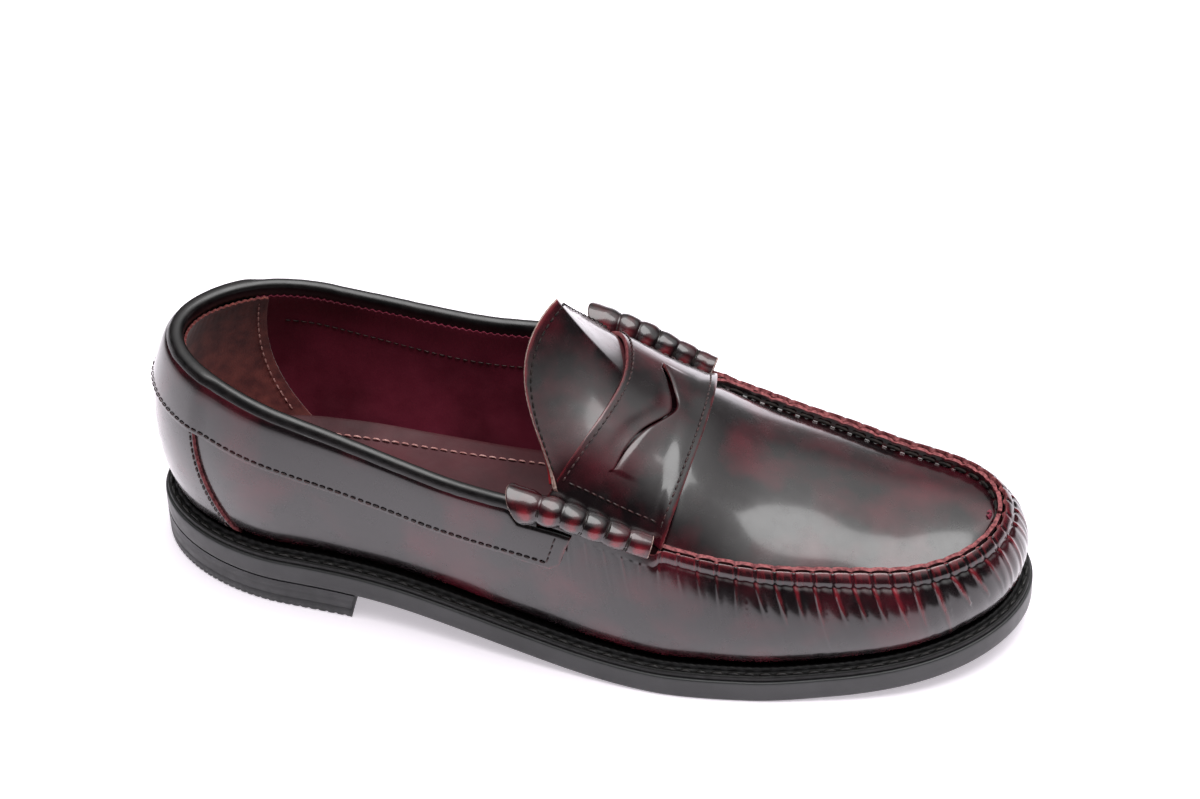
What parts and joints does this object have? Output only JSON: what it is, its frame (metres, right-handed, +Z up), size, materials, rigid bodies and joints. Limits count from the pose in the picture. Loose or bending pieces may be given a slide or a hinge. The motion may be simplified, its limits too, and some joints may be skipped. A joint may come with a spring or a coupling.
{
  "type": "penny loafer",
  "caption": "Slip-on moccasin-seam shoe for the right foot, with a slotted saddle strap, rolled strap ends, welted rubber sole and low heel.",
  "frame": {"origin": "on the ground, under the middle of the bounding box, which is the middle of the outsole", "axes": "+X towards the toe, +Y towards the inner side of the foot, +Z up"},
  "size_m": [0.3, 0.1078, 0.116],
  "materials": {
    "rubber": "satin black-grey rubber",
    "steel": "plain steel",
    "welt_leather": "satin black, grooved",
    "thread_dark": "waxed thread",
    "cork": "granulated cork",
    "board_leather": "plain leather board",
    "foam": "thin latex foam",
    "sock_leather": "smooth lining leather",
    "thread_pale": "fine thread",
    "upper_leather": "high-shine burgundy, brushed off to near black",
    "piping_leather": "rolled black edge binding",
    "thread_red": "fine dark red thread",
    "canvas": "stiffened canvas",
    "lining_leather": "smooth oxblood lining leather",
    "suede": "reddish brown suede",
    "tongue_lining_leather": "bright red lining leather"
  },
  "bodies": {
    "shoe": {"outsole": "rubber", "heel_base": "rubber", "heel_top_piece": "rubber", "heel_nails": "steel", "welt": "welt_leather", "welt_thread": "thread_dark", "cork_filler": "cork", "shank": "steel", "insole_board": "board_leather", "heel_cushion": "foam", "sock_lining": "sock_leather", "sock_thread": "thread_pale", "vamp": "upper_leather", "medial_quarter": "upper_leather", "counter_cover": "upper_leather", "collar_band": "upper_leather", "topline_piping": "piping_leather", "apron": "upper_leather", "strap": "upper_leather", "beef_roll_lateral": "upper_leather", "beef_roll_medial": "upper_leather", "roll_thread_lateral": "thread_dark", "roll_thread_medial": "thread_dark", "moc_seam_thread": "thread_dark", "collar_thread": "thread_red", "counter_thread": "thread_red", "quarter_thread": "thread_red", "strap_thread": "thread_red", "toe_puff": "canvas", "heel_stiffener": "canvas", "interlining_lateral": "canvas", "interlining_medial": "canvas", "vamp_lining": "lining_leather", "quarter_lining_lateral": "lining_leather", "quarter_lining_medial": "lining_leather", "heel_grip": "suede", "heel_grip_thread": "thread_pale", "apron_lining": "lining_leather"},
    "tongue": {"tongue": "upper_leather", "tongue_lining": "tongue_lining_leather", "tongue_thread": "thread_red"}
  },
  "joints": [
    {"name": "tongue_lift", "type": "hinge", "parent": "shoe", "child": "tongue", "pos_m": [0.009, 0, 0.0865], "axis": [0, 1, 0], "range_deg": [-6, 25], "stiffness_Nm_per_rad": 0.1}
  ]
}
